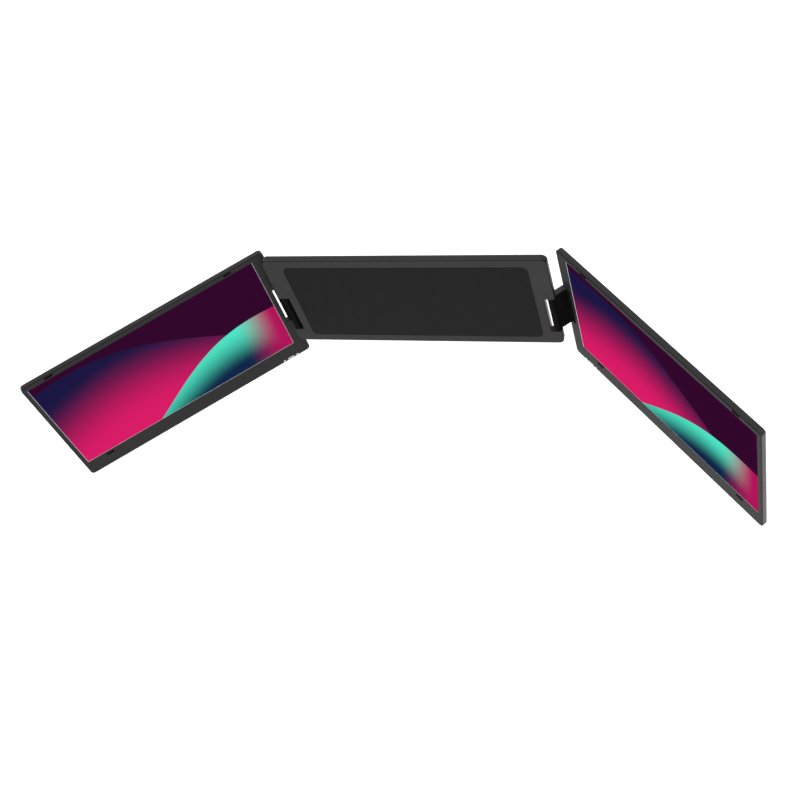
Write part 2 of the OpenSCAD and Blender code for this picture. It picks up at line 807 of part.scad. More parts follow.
module screen_housing(side) {
    color("#3a3a3c")
        on_screen(side)
            difference() {
                translate([screen_w / 2, bezel_t, 0])
                    slab(screen_w, screen_h, screen_t - bezel_t, screen_corner_r, 0, back_edge_r);
                difference() {
                    translate([screen_w / 2, 0, 0])
                        plate(0, shell_floor)
                            rounded_rect(screen_w - 2 * shell_wall, screen_h - 2 * shell_wall,
                                         screen_corner_r - shell_wall);
                    block([0, 0, -bay_h / 2 - shell_wall],
                          [notch_d + shell_wall, screen_t, bay_h / 2 + shell_wall]);
                }
                translate([0, bezel_t, 0]) bay_cut(notch_d, screen_t - bezel_t, 0, bay_edge_r);
                translate([screen_axis_inset, screen_t / 2, 0])
                    axis_rod(pin_d + 2 * pass_gap, pin_len + 2 * ear_gap);
                for (u = [usb_u, usb_u + usb_pitch])
                    socket(u, -over, port_depth) usb_outline(pass_gap);
                socket(hdmi_u, -over, port_depth) hdmi_outline(pass_gap);
                for (at = screen_screw_at)
                    translate([at[0], shell_floor - over, at[1]])
                        rotate([-90, 0, 0]) cylinder(d = screw_d + 2 * seat_gap, h = screen_t);
                for (at = screen_screw_at)
                    translate([at[0], screen_t - screw_head_h, at[1]])
                        rotate([-90, 0, 0])
                            cylinder(d = screw_head_d + 2 * pass_gap, h = screen_t);
            }
}

module screen_glass(side) {
    color("#30062b")
        on_screen(side)
            on_picture()
                plate(bezel_t - glass_t, bezel_t)
                    square([picture_w + 2 * glass_lap, picture_h + 2 * glass_lap], center = true);
}

// Thin foam line between the bezel window and the picture
module gasket(side) {
    color("#c4c4cc")
        on_screen(side)
            on_picture()
                plate(gasket_depth, bezel_t - glass_t)
                    difference() {
                        square([picture_w + 2 * gasket_w, picture_h + 2 * gasket_w], center = true);
                        square([picture_w, picture_h], center = true);
                    }
}

module lcd_module(side) {
    color("#85888c")
        on_screen(side)
            block([bezel_hinge - lcd_border, lcd_v,
                   picture_z - picture_h / 2 - lcd_strip],
                  [bezel_hinge + picture_w + lcd_border, lcd_v + lcd_t,
                   picture_z + picture_h / 2 + lcd_border]);
}

// Circuit board behind the LCD, with its chips on the side that faces it
module driver_board(side) {
    chip_t = board_v - lcd_v - lcd_t - 0.1;
    low = bottom_z + driver_board_rise;
    high = low + driver_board_h;
    middle = (driver_board_u[0] + driver_board_u[1]) / 2;
    color("#1f5a3a")
        on_screen(side) {
            block([driver_board_u[0], board_v, low], [driver_board_u[1], board_v + board_t, high]);
            for (i = [-1, 0, 1])
                block([middle + i * chip_pitch - chip_w / 2, board_v - chip_t, low + driver_board_h / 2],
                      [middle + i * chip_pitch + chip_w / 2, board_v, low + driver_board_h / 2 + chip_w]);
        }
}

module usb_ports(side) {
    color("#aeb1b5")
        on_screen(side)
            for (u = [usb_u, usb_u + usb_pitch]) {
                socket(u, 0, port_depth)
                    difference() {
                        usb_outline(0);
                        usb_outline(-port_wall);
                    }
                socket(u, port_depth - port_wall, port_wall) usb_outline(0);
                socket(u, port_tongue_from, port_depth - port_tongue_from)
                    square([usb_w - 2 * port_tongue_side, port_tongue_t], center = true);
            }
}

module hdmi_port(side) {
    color("#aeb1b5")
        on_screen(side) {
            socket(hdmi_u, 0, port_depth)
                difference() {
                    hdmi_outline(0);
                    hdmi_outline(-port_wall);
                }
            socket(hdmi_u, port_depth - port_wall, port_wall) hdmi_outline(0);
            socket(hdmi_u, port_tongue_from, port_depth - port_tongue_from)
                square([hdmi_w - 2 * port_tongue_side, port_tongue_t], center = true);
        }
}

// Steel plate behind the LCD with two ears beside the bay, which hold the screen's pin
module screen_bracket(side) {
    plate_from = lcd_v + lcd_t + 0.2;
    plate_to = shell_floor - 0.1;
    wall_u = notch_d + shell_wall + ear_gap;
    near = bay_h / 2 + shell_wall + ear_gap;
    color("#8e9297")
        on_screen(side)
            difference() {
                union() {
                    block([wall_u, plate_from, -ear_far], [wall_u + screen_plate_w, plate_to, ear_far]);
                    for (z = [0, 1])
                        mirror([0, 0, z]) {
                            block([shell_wall + ear_gap, bezel_t + 0.2, near],
                                  [bezel_hinge - lcd_border - ear_gap, plate_to, ear_far]);
                            block([shell_wall + ear_gap, plate_from, near],
                                  [wall_u + over, plate_to, ear_far]);
                        }
                }
                translate([screen_axis_inset, screen_t / 2, 0])
                    axis_rod(pin_d + 2 * seat_gap, pin_len + 2 * over);
            }
}

module screen_pin(side) {
    color("#a4a7ab")
        on_screen(side)
            translate([screen_axis_inset, screen_t / 2, 0]) axis_rod(pin_d, pin_len);
}

module corner_pads(side) {
    color("#0d0d0e")
        on_screen(side) plate(-bumper_proud, bumper_t - bumper_proud) bumper_outline(side, 0);
}

module screen_screws(side) {
    color("#6b6d70")
        on_screen(side)
            for (at = screen_screw_at)
                translate([at[0], bezel_t + 0.8, at[1]])
                    screw(screen_t - screw_head_h - bezel_t - 0.8);
}

// Small board with one switch behind each button
module button_board(side) {
    body_v = board_v - switch_t;
    switch_z = button_z + 0.5;
    color("#1f5a3a")
        on_screen(side) {
            block([button_board_u[0], board_v, bottom_z + shell_wall + 0.3],
                  [button_board_u[1], board_v + board_t, bottom_z + button_board_top]);
            for (u = [power_u, menu_u, input_u]) {
                block([u - switch_w / 2, body_v, switch_z - switch_h / 2],
                      [u + switch_w / 2, board_v, switch_z + switch_h / 2]);
                translate([u, plunger_v, switch_z])
                    rotate([-90, 0, 0]) cylinder(d = plunger_d, h = body_v - plunger_v + 0.1);
            }
        }
}

// A cap in its hole, with a flange behind the bezel that keeps it in
module button(side, u, len) {
    color("#b9b9bb")
        on_screen(side) {
            plate(-button_proud, flange_v) translate([u, button_z]) children();
            block([u - len / 2 - button_flange_w, flange_v, bottom_z + shell_wall + 0.2],
                  [u + len / 2 + button_flange_w, flange_v + button_flange_t,
                   button_z + button_h / 2 + button_flange_w + 0.2]);
        }
}

module power_button(side) {
    button(side, power_u, power_d) circle(d = power_d);
}

module menu_button(side) {
    button(side, menu_u, menu_len) stadium(menu_len, button_h);
}

module input_button(side) {
    button(side, input_u, input_len) stadium(input_len, button_h);
}

frame_front();
frame_rear();
lid_pad();
lid_magnets();
frame_screws();
frame_bracket(left);  // left_frame_bracket
frame_bracket(right);  // right_frame_bracket
frame_pin(left);  // left_frame_pin
frame_pin(right);  // right_frame_pin
kickstand_pin();
kickstand();
kickstand_foot();
arm(left);  // left_arm
arm(right);  // right_arm
arm_bushes(left);  // left_arm_bushes
arm_bushes(right);  // right_arm_bushes
screen_housing(left);  // left_screen_housing
screen_housing(right);  // right_screen_housing
screen_bezel(left);  // left_screen_bezel
screen_bezel(right);  // right_screen_bezel
screen_glass(left);  // left_screen_glass
screen_glass(right);  // right_screen_glass
gasket(left);  // left_gasket
gasket(right);  // right_gasket
lcd_module(left);  // left_lcd_module
lcd_module(right);  // right_lcd_module
driver_board(left);  // left_driver_board
driver_board(right);  // right_driver_board
usb_ports(left);  // left_usb_ports
usb_ports(right);  // right_usb_ports
hdmi_port(left);  // left_hdmi_port
hdmi_port(right);  // right_hdmi_port
screen_bracket(left);  // left_screen_bracket
screen_bracket(right);  // right_screen_bracket
screen_pin(left);  // left_screen_pin
screen_pin(right);  // right_screen_pin
corner_pads(left);  // left_corner_pads
corner_pads(right);  // right_corner_pads
screen_screws(left);  // left_screen_screws
screen_screws(right);  // right_screen_screws
button_board(left);  // left_button_board
button_board(right);  // right_button_board
power_button(left);  // left_power_button
power_button(right);  // right_power_button
menu_button(left);  // left_menu_button
menu_button(right);  // right_menu_button
input_button(left);  // left_input_button
input_button(right);  // right_input_button
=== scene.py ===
import bpy
import json
import math
from mathutils import Matrix, Vector


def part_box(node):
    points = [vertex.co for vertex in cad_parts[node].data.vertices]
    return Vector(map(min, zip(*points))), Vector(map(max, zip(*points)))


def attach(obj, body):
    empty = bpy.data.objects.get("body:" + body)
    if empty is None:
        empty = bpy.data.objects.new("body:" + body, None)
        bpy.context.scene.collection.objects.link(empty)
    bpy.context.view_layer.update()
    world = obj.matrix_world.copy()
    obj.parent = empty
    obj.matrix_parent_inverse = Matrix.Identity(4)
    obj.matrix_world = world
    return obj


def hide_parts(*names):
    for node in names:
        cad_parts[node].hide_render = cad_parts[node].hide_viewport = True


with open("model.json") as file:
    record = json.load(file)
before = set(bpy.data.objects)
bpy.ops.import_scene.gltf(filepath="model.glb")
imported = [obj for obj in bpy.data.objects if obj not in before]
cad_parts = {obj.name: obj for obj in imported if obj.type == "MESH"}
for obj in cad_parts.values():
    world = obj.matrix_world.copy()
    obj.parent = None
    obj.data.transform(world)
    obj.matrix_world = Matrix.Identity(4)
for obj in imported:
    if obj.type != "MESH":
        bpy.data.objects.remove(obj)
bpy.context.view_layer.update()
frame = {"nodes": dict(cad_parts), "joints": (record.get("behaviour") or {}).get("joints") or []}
nodes = frame["nodes"]
sides = ("left", "right")
print("frame loaded:", len(nodes), "nodes")

# Looks down on the screens from the front right
cameraSet = {
    "place": (0.4495, -0.9128, 1.2813),
    "right": (0.95859, 0.16876, -0.22940),
    "up": (-0.02470, 0.85173, 0.52340),
    "back": (0.28371, -0.49606, 0.82063),
    "lens": 60.27,
    "sensor": 36,
    "nearClip": 0.01,
    "farClip": 50,
}


def makeCamera(spec):
    data = bpy.data.cameras.new("camera")
    data.lens = spec["lens"]
    data.sensor_width = spec["sensor"]
    data.clip_start = spec["nearClip"]
    data.clip_end = spec["farClip"]
    cam = bpy.data.objects.new("camera", data)
    bpy.context.scene.collection.objects.link(cam)
    axes = Matrix((spec["right"], spec["up"], spec["back"])).transposed()
    cam.matrix_world = Matrix.Translation(spec["place"]) @ axes.to_4x4()
    bpy.context.scene.camera = cam


makeCamera(cameraSet)
bpy.context.scene.view_settings.view_transform = "Standard"
print("camera placed")

# Directions of the frame, and the places of the hinges
rightWay = Vector((1, 0, 0))
rearWay = Vector((0, 1, 0))
upWay = Vector((0, 0, 1))
hinges = {j["name"]: Vector(j["pos_m"]) for j in frame["joints"] if j["type"] == "hinge"}


def backWay(side):
    # a screen's buttons travel straight back into it
    press = next(j for j in frame["joints"] if j["name"] == side + "_menu_press")
    return Vector(press["axis"]).normalized()


def longEdge(side):
    # direction from the hinge out along a screen, seen from above
    back = backWay(side)
    out = Vector((back.y, -back.x, 0))
    return out if side == "right" else -out


def reach(node, way):
    # lowest and highest place of a node's points along a direction
    places = [v.co.dot(way) for v in nodes[node].data.vertices]
    return min(places), max(places)


# Each span holds the value at which a change starts and the one at which it is full
noiseSpan = (0.3, 0.7)
cloudSpan = (0.35, 0.65)
faceSpan = (0.6, 0.9)      # cosine between a face's normal and a direction
rimSpan = (0.9, 0.97)      # the same, from a rounding to the flat face beside it
edgeSpan = (0.995, 0.9)    # cosine between the true normal and a rounded one
bevelSamples = 6


def newMaterial(name):
    mat = bpy.data.materials.new(name)
    mat.use_nodes = True
    tree = mat.node_tree
    shader = tree.nodes["Principled BSDF"]
    return mat, tree, shader


def addNode(tree, kind, **values):
    # each value goes to the input of that name, or else to the node's own setting
    node = tree.nodes.new(kind)
    for key, value in values.items():
        if key in node.inputs:
            node.inputs[key].default_value = value
        else:
            setattr(node, key, value)
    return node


def feed(tree, value, socket):
    # a socket takes another node's output or a fixed value
    if isinstance(value, bpy.types.NodeSocket):
        tree.links.new(value, socket)
    else:
        socket.default_value = value


def mathNode(tree, operation, *values):
    node = addNode(tree, "ShaderNodeMath", operation=operation)
    for value, socket in zip(values, node.inputs):
        feed(tree, value, socket)
    return node.outputs[0]


def dotNode(tree, first, second):
    node = addNode(tree, "ShaderNodeVectorMath", operation="DOT_PRODUCT")
    feed(tree, first, node.inputs[0])
    feed(tree, second, node.inputs[1])
    return node.outputs["Value"]


def spread(tree, value, fromLow, fromHigh, toLow=0, toHigh=1, smooth=False):
    node = addNode(tree, "ShaderNodeMapRange",
                   interpolation_type="SMOOTHSTEP" if smooth else "LINEAR")
    for socket, part in zip(node.inputs, (value, fromLow, fromHigh, toLow, toHigh)):
        feed(tree, part, socket)
    return node.outputs[0]


def mixColour(tree, share, first, second):
    # a colour mix reads inputs 0, 6 and 7 of its node and gives output 2
    node = addNode(tree, "ShaderNodeMix", data_type="RGBA")
    feed(tree, share, node.inputs[0])
    for index, value in ((6, first), (7, second)):
        feed(tree, (*value, 1) if isinstance(value, tuple) else value, node.inputs[index])
    return node.outputs[2]


def objectPoint(tree):
    return tree.nodes.new("ShaderNodeTexCoord").outputs["Object"]


def splitPoint(tree, point):
    # place from left to right, and height
    split = tree.nodes.new("ShaderNodeSeparateXYZ")
    tree.links.new(point, split.inputs[0])
    return split.outputs["X"], split.outputs["Z"]


def noiseAt(tree, point, scale, detail, rough=0.5):
    node = addNode(tree, "ShaderNodeTexNoise", Scale=scale, Detail=detail, Roughness=rough)
    tree.links.new(point, node.inputs["Vector"])
    return node.outputs["Fac"]


def roundedNormal(tree, radius):
    node = addNode(tree, "ShaderNodeBevel", Radius=radius, samples=bevelSamples)
    return node.outputs[0]


def edgeMask(tree, radius):
    # how far a rounded normal leaves the true one: 0 on flats, 1 along edges
    geometry = tree.nodes.new("ShaderNodeNewGeometry")
    bend = dotNode(tree, roundedNormal(tree, radius), geometry.outputs["True Normal"])
    return spread(tree, bend, *edgeSpan)


def facing(tree, way):
    # 1 on faces that look along a direction or against it, 0 on those beside it
    coordinates = tree.nodes.new("ShaderNodeTexCoord")
    return mathNode(tree, "ABSOLUTE", dotNode(tree, coordinates.outputs["Normal"], way))


def rimMask(tree, ways):
    # 1 on the roundings between faces that look along the given directions, 0 on those faces
    flat = facing(tree, ways[0])
    for way in ways[1:]:
        flat = mathNode(tree, "MAXIMUM", flat, facing(tree, way))
    return spread(tree, flat, *rimSpan, 1, 0)


def seamLine(tree, point, seam):
    # 1 in the thin groove where two mouldings meet, 0 elsewhere
    away = mathNode(tree, "SUBTRACT", dotNode(tree, point, seam["way"]), seam["at"])
    away = mathNode(tree, "ABSOLUTE", away)
    return spread(tree, away, seam["width"] / 2, seam["width"], 1, 0)


def addRelief(tree, shader, height, strength, depth, under=None):
    # bumps the surface by a pattern, over a rounded normal where one is given
    bump = addNode(tree, "ShaderNodeBump", Strength=strength, Distance=depth)
    tree.links.new(height, bump.inputs["Height"])
    if under is not None:
        tree.links.new(under, bump.inputs["Normal"])
    tree.links.new(bump.outputs[0], shader.inputs["Normal"])


def srgb(*parts):
    # 0 to 255 as a screen shows it, turned into the shader's own scale by the sRGB curve
    shares = [part / 255 for part in parts]
    return tuple(s / 12.92 if s <= 0.04045 else ((s + 0.055) / 1.055) ** 2.4 for s in shares)


mouldSet = {
    "cloudDetail": 3,
    "grainDetail": 2,
    "grainBreak": 0.6,
    "cloudRough": 0.01,      # how far the clouds move the roughness up and down
    "grainRough": 0.05,      # how far the grain moves it
    "grainDepth": 0.00005,
    "grooveDepth": 4,        # in depths of the grain
    "grooveTone": (0.0005, 0.0005, 0.0005),
}


def plasticTone(tree, spec, cloud, groove):
    # clouded all over, painted highlight on ends, painted shade on rims, worn edges paler, seam
    # dark
    tone = mixColour(tree, spread(tree, cloud, *cloudSpan), spec["dark"], spec["light"])
    # painted highlight: faces that look up or down take a lighter tone
    if "ends" in spec:
        ends = spread(tree, facing(tree, upWay), *faceSpan)
        tone = mixColour(tree, ends, tone, spec["ends"])
    # painted shade: the roundings between the main faces take a darker tone
    if "rimShade" in spec:
        tone = mixColour(tree, rimMask(tree, spec["ways"]), tone, spec["rimShade"])
    worn = mathNode(tree, "MULTIPLY", edgeMask(tree, spec["wearRadius"]), cloud)
    tone = mixColour(tree, mathNode(tree, "MULTIPLY", worn, spec["wear"]), tone, spec["worn"])
    if groove is not None:
        tone = mixColour(tree, groove, tone, mouldSet["grooveTone"])
    return tone


def mouldedPlastic(name, spec, seam=None):
    mat, tree, shader = newMaterial(name)
    point = objectPoint(tree)
    cloud = noiseAt(tree, point, spec["cloudScale"], mouldSet["cloudDetail"])
    grain = noiseAt(tree, point, spec["grainScale"],
                    mouldSet["grainDetail"], mouldSet["grainBreak"])
    groove = seamLine(tree, point, seam) if seam else None
    tree.links.new(plasticTone(tree, spec, cloud, groove), shader.inputs["Base Color"])
    smoothest = spec["rough"] - mouldSet["grainRough"]
    roughest = spec["rough"] + mouldSet["grainRough"]
    grainPart = spread(tree, grain, *noiseSpan, smoothest, roughest)
    cloudPart = spread(tree, cloud, *noiseSpan, -mouldSet["cloudRough"], mouldSet["cloudRough"])
    tree.links.new(mathNode(tree, "ADD", grainPart, cloudPart), shader.inputs["Roughness"])
    shader.inputs["Specular IOR Level"].default_value = spec["shine"]
    height = grain
    if groove is not None:
        sunk = mathNode(tree, "MULTIPLY", groove, mouldSet["grooveDepth"])
        height = mathNode(tree, "SUBTRACT", grain, sunk)
    soft = roundedNormal(tree, spec["softEdge"])
    addRelief(tree, shader, height, spec["grain"], mouldSet["grainDepth"], soft)
    return mat


rubberSet = {
    "cloudScale": 60,
    "cloudDetail": 3,
    "grainDetail": 2,
    "grainBreak": 0.7,
    "smoothest": 0.62,
    "roughest": 0.8,
    "grainShare": 0.3,       # of the relief, beside raised dots
    "dotSpan": (0.2, 0.7),   # from a dot's foot to its top
    "bump": 0.35,
    "bumpDepth": 0.0001,
}


def dotRelief(tree, point, pitch):
    # small raised dots in rows, seen from the front
    places = splitPoint(tree, point)
    turns = [mathNode(tree, "MULTIPLY", place, math.tau / pitch) for place in places]
    waves = [mathNode(tree, "COSINE", turn) for turn in turns]
    return spread(tree, mathNode(tree, "MULTIPLY", *waves), *rubberSet["dotSpan"], smooth=True)


def softRubber(name, spec):
    mat, tree, shader = newMaterial(name)
    point = objectPoint(tree)
    cloud = noiseAt(tree, point, rubberSet["cloudScale"], rubberSet["cloudDetail"])
    grain = noiseAt(tree, point, spec["grainScale"],
                    rubberSet["grainDetail"], rubberSet["grainBreak"])
    tone = mixColour(tree, spread(tree, cloud, *noiseSpan), spec["dark"], spec["light"])
    tree.links.new(tone, shader.inputs["Base Color"])
    rough = spread(tree, grain, *noiseSpan, rubberSet["smoothest"], rubberSet["roughest"])
    tree.links.new(rough, shader.inputs["Roughness"])
    shader.inputs["Specular IOR Level"].default_value = spec["shine"]
    shader.inputs["Sheen Weight"].default_value = spec["sheen"]
    # painted light: the foam's walls along glowWay glow in its own tone
    if "glow" in spec:
        glow = spread(tree, facing(tree, spec["glowWay"]), *faceSpan, 0, spec["glow"])
        tree.links.new(tone, shader.inputs["Emission Color"])
        tree.links.new(glow, shader.inputs["Emission Strength"])
    height = grain
    if "dotPitch" in spec:
        height = mathNode(tree, "MULTIPLY", grain, rubberSet["grainShare"])
        height = mathNode(tree, "ADD", height, dotRelief(tree, point, spec["dotPitch"]))
    addRelief(tree, shader, height, rubberSet["bump"], rubberSet["bumpDepth"])
    return mat


metalSet = {
    "lineDetail": 3,
    "lineBreak": 0.6,
    "lineRough": 0.08,       # how far the lines move the roughness up and down
    "bump": 0.15,
    "bumpDepth": 0.00005,
}


def brushedMetal(name, spec):
    mat, tree, shader = newMaterial(name)
    stretch = addNode(tree, "ShaderNodeMapping", Scale=spec["stretch"])
    tree.links.new(objectPoint(tree), stretch.inputs["Vector"])
    lines = noiseAt(tree, stretch.outputs[0], spec["lineScale"],
                    metalSet["lineDetail"], metalSet["lineBreak"])
    tone = mixColour(tree, lines, spec["dark"], spec["light"])
    tree.links.new(tone, shader.inputs["Base Color"])
    smoothest = spec["rough"] - metalSet["lineRough"]
    roughest = spec["rough"] + metalSet["lineRough"]
    tree.links.new(spread(tree, lines, *noiseSpan, smoothest, roughest), shader.inputs["Roughness"])
    shader.inputs["Metallic"].default_value = 1
    addRelief(tree, shader, lines, metalSet["bump"], metalSet["bumpDepth"])
    return mat


# The picture on the screens: two broad waves on a plum ground. Its places are measured from
# its centre, in shares of its width and height
pictureSet = {
    "width": 0.3094,
    "height": 0.174,
    "ground": srgb(49, 6, 43),
    "pink": srgb(216, 27, 102),
    "pinkDeep": srgb(176, 20, 90),
    "navy": srgb(26, 22, 66),
    "mint": srgb(78, 228, 196),
    "teal": srgb(16, 38, 72),
    "farWave": {"turns": 0.62, "start": 2.1, "swing": 0.2, "slope": -0.55, "level": 0.12,
                "lean": 0.5, "fade": (-0.06, 0.68)},
    "nearWave": {"turns": 0.8, "start": 0.4, "swing": 0.16, "slope": 0.62, "level": -0.36,
                 "lean": -0.35, "fade": (-0.1, 0.3)},
    "lineSoft": 0.006,
    "sideFade": (0.3, 0.48),
    "glow": 1.0,
    "cover": (0.001, 0.001, 0.001, 1),
    "hazeScale": 2600,
    "hazeDetail": 1,
    "hazeRough": (0.3, 0.4),
}


def waveBand(tree, across, up, wave):
    # 1 below a wavy line and 0 above it, and a fade that grows with the depth under the line
    turn = mathNode(tree, "MULTIPLY", across, wave["turns"] * math.tau)
    turn = mathNode(tree, "ADD", turn, wave["start"])
    swing = mathNode(tree, "MULTIPLY", mathNode(tree, "SINE", turn), wave["swing"])
    slope = mathNode(tree, "MULTIPLY", across, wave["slope"])
    line = mathNode(tree, "ADD", mathNode(tree, "ADD", swing, slope), wave["level"])
    under = mathNode(tree, "SUBTRACT", line, up)
    leaning = mathNode(tree, "ADD", under, mathNode(tree, "MULTIPLY", across, wave["lean"]))
    fade = spread(tree, leaning, *wave["fade"], smooth=True)
    return spread(tree, under, 0, pictureSet["lineSoft"]), fade


def pictureTone(tree, across, up):
    # a navy wave behind that deepens to pink, and before it a mint one that deepens to teal and
    # turns pink at the right edge
    far, farFade = waveBand(tree, across, up, pictureSet["farWave"])
    near, nearFade = waveBand(tree, across, up, pictureSet["nearWave"])
    sideFade = spread(tree, across, *pictureSet["sideFade"], smooth=True)
    farTone = mixColour(tree, farFade, pictureSet["navy"], pictureSet["pink"])
    nearTone = mixColour(tree, nearFade, pictureSet["mint"], pictureSet["teal"])
    nearTone = mixColour(tree, sideFade, nearTone, pictureSet["pinkDeep"])
    tone = mixColour(tree, far, pictureSet["ground"], farTone)
    return mixColour(tree, near, tone, nearTone)


def pictureMaterial(side, centre, out):
    mat, tree, shader = newMaterial(side + "Picture")
    right = out if side == "right" else -out
    shift = addNode(tree, "ShaderNodeMapping", vector_type="TEXTURE", Location=tuple(centre),
                    Rotation=(0, 0, math.atan2(right.y, right.x)),
                    Scale=(pictureSet["width"], 1, pictureSet["height"]))
    tree.links.new(objectPoint(tree), shift.inputs["Vector"])
    across, up = splitPoint(tree, shift.outputs[0])
    tree.links.new(pictureTone(tree, across, up), shader.inputs["Emission Color"])
    shader.inputs["Emission Strength"].default_value = pictureSet["glow"]
    shader.inputs["Base Color"].default_value = pictureSet["cover"]
    shader.inputs["Specular IOR Level"].default_value = 0
    haze = noiseAt(tree, objectPoint(tree), pictureSet["hazeScale"], pictureSet["hazeDetail"])
    rough = spread(tree, haze, *noiseSpan, *pictureSet["hazeRough"])
    tree.links.new(rough, shader.inputs["Roughness"])
    return mat


# The front plates are matt and the rear shells have a satin sheen. Their rounded rims carry
# painted shade, darker than the faces beside them
frontPlasticSet = {
    "dark": srgb(45, 45, 46), "light": srgb(49, 49, 49), "worn": srgb(74, 74, 76),
    "cloudScale": 14, "grainScale": 2400, "rough": 0.58, "shine": 0.1, "grain": 0.25,
    "wear": 0.3, "wearRadius": 0.0006, "softEdge": 0.0003, "rimShade": srgb(12, 12, 12)}
frameFrontSet = {**frontPlasticSet, "dark": srgb(56, 56, 57), "light": srgb(60, 60, 61)}
shellPlasticSet = {
    "dark": srgb(15, 15, 16), "light": srgb(19, 19, 20), "worn": srgb(58, 58, 60),
    "cloudScale": 14, "grainScale": 2200, "rough": 0.36, "shine": 0.37, "grain": 0.2,
    "wear": 0.3, "wearRadius": 0.0006, "softEdge": 0.0003, "rimShade": srgb(3, 3, 3)}
standPaint = mouldedPlastic("standPaint", {
    "dark": srgb(24, 24, 25), "light": srgb(30, 30, 31), "worn": srgb(90, 90, 92),
    "cloudScale": 20, "grainScale": 1700, "rough": 0.38, "shine": 0.5, "grain": 0.4,
    "wear": 0.5, "wearRadius": 0.0005, "softEdge": 0.0003})
# the arm's top and bottom faces carry a painted highlight, lighter than its sides
armPaint = mouldedPlastic("armPaint", {
    "dark": srgb(4, 4, 4), "light": srgb(6, 6, 6), "worn": srgb(60, 60, 62),
    "cloudScale": 40, "grainScale": 1900, "rough": 0.68, "shine": 0.04, "grain": 0.3,
    "wear": 0.5, "wearRadius": 0.0005, "softEdge": 0.0003, "ends": srgb(72, 72, 73)})
buttonPlastic = mouldedPlastic("buttonPlastic", {
    "dark": srgb(222, 222, 224), "light": srgb(236, 236, 238), "worn": srgb(244, 244, 244),
    "cloudScale": 90, "grainScale": 2600, "rough": 0.4, "shine": 0.4, "grain": 0.2,
    "wear": 0.4, "wearRadius": 0.0003, "softEdge": 0.0003})
screwBlack = mouldedPlastic("screwBlack", {
    "dark": srgb(24, 24, 25), "light": srgb(34, 34, 35), "worn": srgb(120, 120, 122),
    "cloudScale": 200, "grainScale": 3000, "rough": 0.35, "shine": 0.6, "grain": 0.2,
    "wear": 0.7, "wearRadius": 0.0003, "softEdge": 0.0002})
boardGreen = mouldedPlastic("boardGreen", {
    "dark": srgb(16, 62, 38), "light": srgb(22, 76, 48), "worn": srgb(150, 140, 90),
    "cloudScale": 120, "grainScale": 1500, "rough": 0.3, "shine": 0.5, "grain": 0.2,
    "wear": 0.4, "wearRadius": 0.0003, "softEdge": 0.0001})
padRubber = softRubber("padRubber", {
    "dark": srgb(9, 9, 10), "light": srgb(13, 13, 14), "grainScale": 1300, "shine": 0.12,
    "sheen": 0.02, "dotPitch": 0.0024})
bumperRubber = softRubber("bumperRubber", {
    "dark": srgb(3, 3, 3), "light": srgb(7, 7, 7), "grainScale": 2000, "shine": 0.02,
    "sheen": 0.0})
# The foam's side walls glow with painted light, in place of the light of the panel beside them
gasketSet = {
    "dark": srgb(188, 188, 192), "light": srgb(210, 210, 212), "grainScale": 3000, "shine": 0.2,
    "sheen": 0.1, "glow": 1.25}
steel = brushedMetal("steel", {
    "dark": (0.42, 0.43, 0.44), "light": (0.6, 0.61, 0.62), "stretch": (1, 1, 0.05),
    "lineScale": 900, "rough": 0.3})
sheetMetal = brushedMetal("sheetMetal", {
    "dark": (0.45, 0.46, 0.47), "light": (0.62, 0.62, 0.63), "stretch": (0.05, 0.05, 1),
    "lineScale": 700, "rough": 0.38})
brass = brushedMetal("brass", {
    "dark": (0.46, 0.33, 0.12), "light": (0.66, 0.49, 0.22), "stretch": (1, 1, 0.1),
    "lineScale": 1200, "rough": 0.32})
print("materials made")

seamWidth = 0.00011
uprightWeight = 3    # lets a screen's upright edges pass as flat, so only its other rims get painted shade


def seamOf(node, way):
    # a rear shell meets the plate before it at the shell's front end
    return {"way": tuple(way), "at": reach(node, way)[0], "width": seamWidth}


def frameFinishes():
    seam = seamOf("frame_rear", rearWay)
    ways = {"ways": (rightWay, rearWay, upWay)}
    return {
        "frame_front": mouldedPlastic("frameFrontPlastic", {**frameFrontSet, **ways}, seam),
        "frame_rear": mouldedPlastic("frameShellPlastic", {**shellPlasticSet, **ways}, seam),
        "lid_pad": padRubber, "lid_magnets": sheetMetal, "frame_screws": screwBlack,
        "kickstand_pin": steel, "kickstand": standPaint, "kickstand_foot": padRubber,
    }


def sideFinishes(side):
    # the arm and the screen of one side, with the hinge parts that hold them
    back = backWay(side)
    out = longEdge(side)
    seam = seamOf(side + "_screen_housing", back)
    ways = {"ways": (back, out * uprightWeight, upWay)}
    low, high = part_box(side + "_screen_glass")
    pieces = {
        "screen_bezel": mouldedPlastic(side + "BezelPlastic", {**frontPlasticSet, **ways}, seam),
        "screen_housing": mouldedPlastic(side + "ShellPlastic", {**shellPlasticSet, **ways}, seam),
        "gasket": softRubber(side + "GasketFoam", {**gasketSet, "glowWay": out}),
        "screen_glass": pictureMaterial(side, (low + high) / 2, out),
        "frame_bracket": sheetMetal, "frame_pin": steel, "arm": armPaint, "arm_bushes": brass,
        "lcd_module": sheetMetal, "driver_board": boardGreen, "usb_ports": steel,
        "hdmi_port": steel, "screen_bracket": sheetMetal, "screen_pin": steel,
        "corner_pads": bumperRubber, "screen_screws": screwBlack, "button_board": boardGreen,
        "power_button": buttonPlastic, "menu_button": buttonPlastic, "input_button": buttonPlastic,
    }
    return {side + "_" + name: mat for name, mat in pieces.items()}


def dress(node, mat):
    mesh = nodes[node].data
    mesh.materials.clear()
    mesh.materials.append(mat)


finishes = frameFinishes()
for side in sides:
    finishes.update(sideFinishes(side))
for name, mat in finishes.items():
    dress(name, mat)
print("nodes dressed:", len(finishes))

smoothAngle = math.radians(35)


def applyAll(obj):
    bpy.context.view_layer.objects.active = obj
    for modifier in list(obj.modifiers):
        bpy.ops.object.modifier_apply(modifier=modifier.name)


